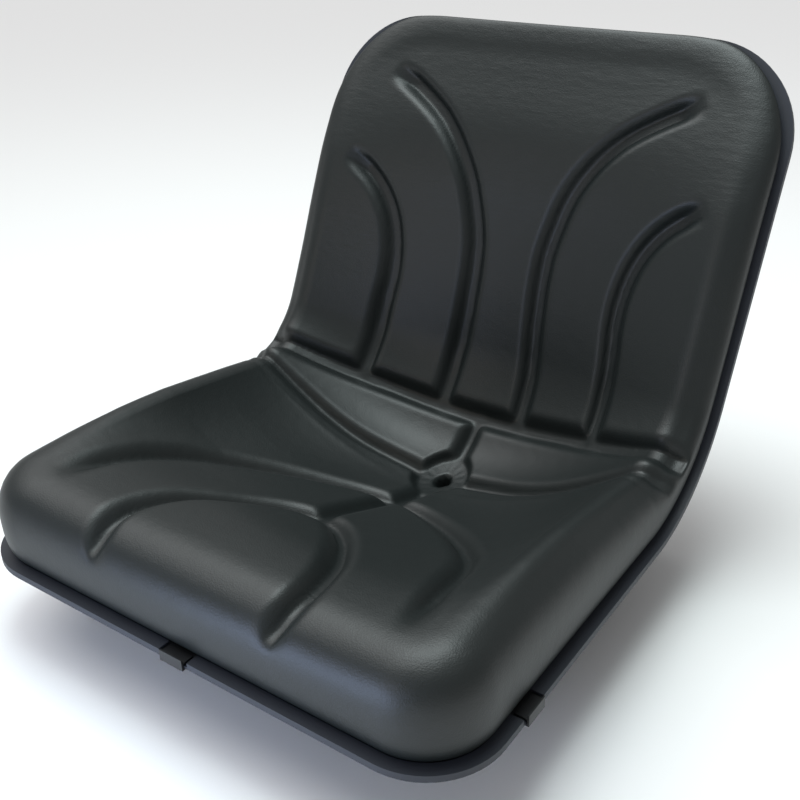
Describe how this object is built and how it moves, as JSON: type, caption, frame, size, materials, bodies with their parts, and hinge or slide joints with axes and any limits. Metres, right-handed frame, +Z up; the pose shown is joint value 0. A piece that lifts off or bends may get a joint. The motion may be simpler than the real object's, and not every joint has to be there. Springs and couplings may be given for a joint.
{
  "type": "tractor seat",
  "caption": "One-piece black vinyl bucket seat with moulded grooves and a drain hole, clipped into a pressed steel pan with an edge trim, bolted down through its flat base panel.",
  "frame": {"origin": "Centre of the bolt rectangle, on the underside of the pan's flat mounting panel.", "axes": "+X is across the seat, to the right of a viewer who faces its front; -Y is the front edge; +Z is up, square to the mounting panel."},
  "size_m": [0.5136, 0.6104, 0.4647],
  "materials": {
    "cushion_vinyl": "satin black grained vinyl",
    "pan_paint": "semi-matt black paint",
    "trim_pvc": "matt black PVC",
    "clip_paint": "satin black paint",
    "nut_steel": "zinc plated"
  },
  "bodies": {
    "root": {"seat_cushion": "cushion_vinyl", "seat_pan": "pan_paint", "edge_trim": "trim_pvc", "retaining_clips": "clip_paint", "weld_nuts": "nut_steel"}
  },
  "joints": []
}
